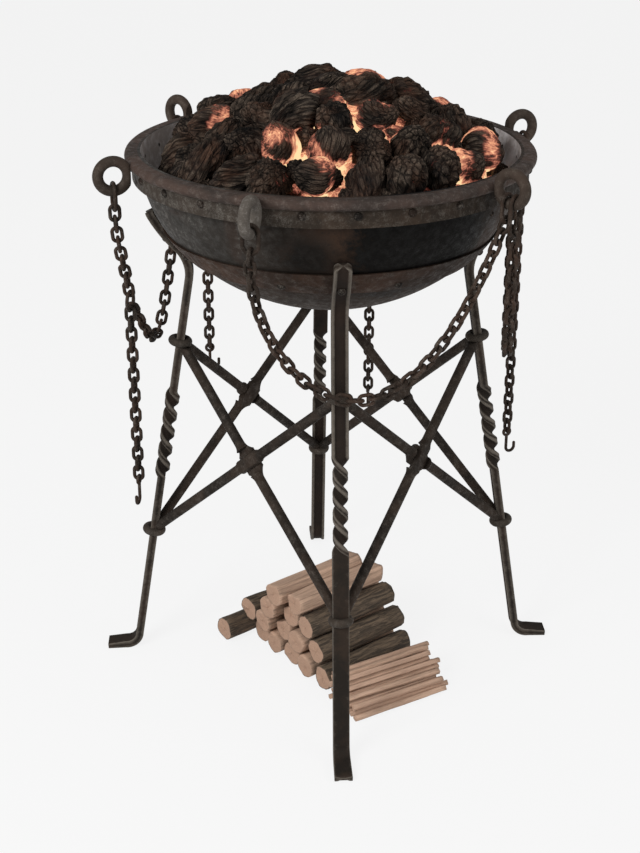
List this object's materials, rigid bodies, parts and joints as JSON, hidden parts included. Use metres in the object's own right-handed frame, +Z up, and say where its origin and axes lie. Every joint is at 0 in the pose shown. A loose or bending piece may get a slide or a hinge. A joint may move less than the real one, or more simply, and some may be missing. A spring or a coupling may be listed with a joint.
{
  "type": "coal brazier on a braced stand",
  "caption": "Round riveted iron fire bowl heaped with glowing coals on four splayed legs with crossed braces, hung with chains, firewood below",
  "frame": {"origin": "middle of the stand on the floor", "axes": "+Z up, -Y towards the leg seen nearest, +X towards the leg on the right"},
  "size_m": [0.812, 0.812, 1.0602],
  "materials": {
    "sooty_iron": "sooty and rusty",
    "rusty_iron": "forged, rusty",
    "worn_iron": "worn, dull",
    "chain_iron": "forged, dull",
    "charcoal": "charred, matte",
    "embers": "glowing",
    "bark": "rough bark",
    "split_wood": "split, dry"
  },
  "bodies": {
    "stand": {"bowl": "sooty_iron", "bowl_side": "sooty_iron", "rim_band": "sooty_iron", "rim_lip": "worn_iron", "lower_hoop": "sooty_iron", "band_rivets": "rusty_iron", "hoop_rivets": "rusty_iron", "leg_rivets": "rusty_iron", "leg_front": "rusty_iron", "leg_right": "rusty_iron", "leg_back": "rusty_iron", "leg_left": "rusty_iron", "brace_front_right_outer": "rusty_iron", "brace_right_back_outer": "rusty_iron", "brace_back_left_outer": "rusty_iron", "brace_left_front_outer": "rusty_iron", "brace_front_right_inner": "rusty_iron", "brace_right_back_inner": "rusty_iron", "brace_back_left_inner": "rusty_iron", "brace_left_front_inner": "rusty_iron", "upper_collars": "worn_iron", "lower_collars": "worn_iron", "ring_a": "worn_iron", "ring_b": "worn_iron", "ring_c": "worn_iron", "ring_d": "worn_iron", "ring_e": "worn_iron", "ring_f": "worn_iron", "ring_links": "chain_iron", "coal_bed": "charcoal", "charcoal_lumps": "charcoal", "ember_lumps": "embers"},
    "swag_a_e": {"swag_a_e": "chain_iron"},
    "swag_b_c": {"swag_b_c": "chain_iron"},
    "swag_c_d": {"swag_c_d": "chain_iron"},
    "swag_e_f": {"swag_e_f": "chain_iron"},
    "drop_a": {"drop_chain_a": "chain_iron"},
    "drop_d": {"drop_chain_d": "chain_iron"},
    "drop_e": {"drop_chain_e": "chain_iron"},
    "drop_f": {"drop_chain_f": "chain_iron"},
    "hook_a": {"hook_a": "chain_iron"},
    "hook_d": {"hook_d": "chain_iron"},
    "hook_e": {"hook_e": "chain_iron"},
    "hook_f": {"hook_f": "chain_iron"},
    "logs": {"bark_logs": "bark", "split_logs": "split_wood"},
    "kindling_pile": {"kindling": "split_wood"}
  },
  "joints": [
    {"name": "swag_a_e_swing", "type": "hinge", "parent": "stand", "child": "swag_a_e", "pos_m": [-0.34331, -0.10496, 0.86615], "axis": [0.2585, 0.9644, 0.0559], "range_deg": [-4, 10]},
    {"name": "swag_b_c_swing", "type": "hinge", "parent": "stand", "child": "swag_b_c", "pos_m": [-0.13448, -0.33286, 0.86615], "axis": [-0.9775, -0.2065, -0.0426], "range_deg": [-4, 10]},
    {"name": "swag_c_d_swing", "type": "hinge", "parent": "stand", "child": "swag_c_d", "pos_m": [0.25459, -0.26364, 0.86445], "axis": [-0.1853, -0.9816, -0.0459], "range_deg": [-4, 10]},
    {"name": "swag_e_f_swing", "type": "hinge", "parent": "stand", "child": "swag_e_f", "pos_m": [-0.25916, 0.25916, 0.86845], "axis": [0.976, 0.2158, 0.028], "range_deg": [-4, 10]},
    {"name": "drop_a_swing", "type": "hinge", "parent": "swag_a_e", "child": "drop_a", "pos_m": [-0.33073, -0.05801, 0.68106], "axis": [0.2589, 0.9659, 0], "range_deg": [-6, 30]},
    {"name": "drop_d_swing", "type": "hinge", "parent": "stand", "child": "drop_d", "pos_m": [0.34216, 0.13134, 0.86445], "axis": [0.3584, -0.9336, 0], "range_deg": [-5, 45]},
    {"name": "drop_e_swing", "type": "hinge", "parent": "swag_e_f", "child": "drop_e", "pos_m": [-0.2117, 0.26965, 0.68106], "axis": [0.9764, 0.2159, 0], "range_deg": [-6, 30]},
    {"name": "drop_f_swing", "type": "hinge", "parent": "stand", "child": "drop_f", "pos_m": [0.10102, 0.3523, 0.86045], "axis": [0.9613, -0.2756, 0], "range_deg": [-5, 45]},
    {"name": "hook_a_swing", "type": "hinge", "parent": "drop_a", "child": "hook_a", "pos_m": [-0.33073, -0.05801, 0.37166], "axis": [-0.9659, 0.2589, 0], "range_deg": [-60, 60]},
    {"name": "hook_d_swing", "type": "hinge", "parent": "drop_d", "child": "hook_d", "pos_m": [0.34216, 0.13134, 0.3551], "axis": [0.3584, -0.9336, 0], "range_deg": [-60, 60]},
    {"name": "hook_e_swing", "type": "hinge", "parent": "drop_e", "child": "hook_e", "pos_m": [-0.2117, 0.26965, 0.48086], "axis": [0.2159, -0.9764, 0], "range_deg": [-60, 60]},
    {"name": "hook_f_swing", "type": "hinge", "parent": "drop_f", "child": "hook_f", "pos_m": [0.10102, 0.3523, 0.3511], "axis": [0.9613, -0.2756, 0], "range_deg": [-60, 60]},
    {"name": "logs_lift", "type": "slide", "parent": "stand", "child": "logs", "axis": [0, 0, 1], "range_m": [0, 0.06]},
    {"name": "kindling_lift", "type": "slide", "parent": "stand", "child": "kindling_pile", "axis": [0, 0, 1], "range_m": [0, 0.06]}
  ]
}
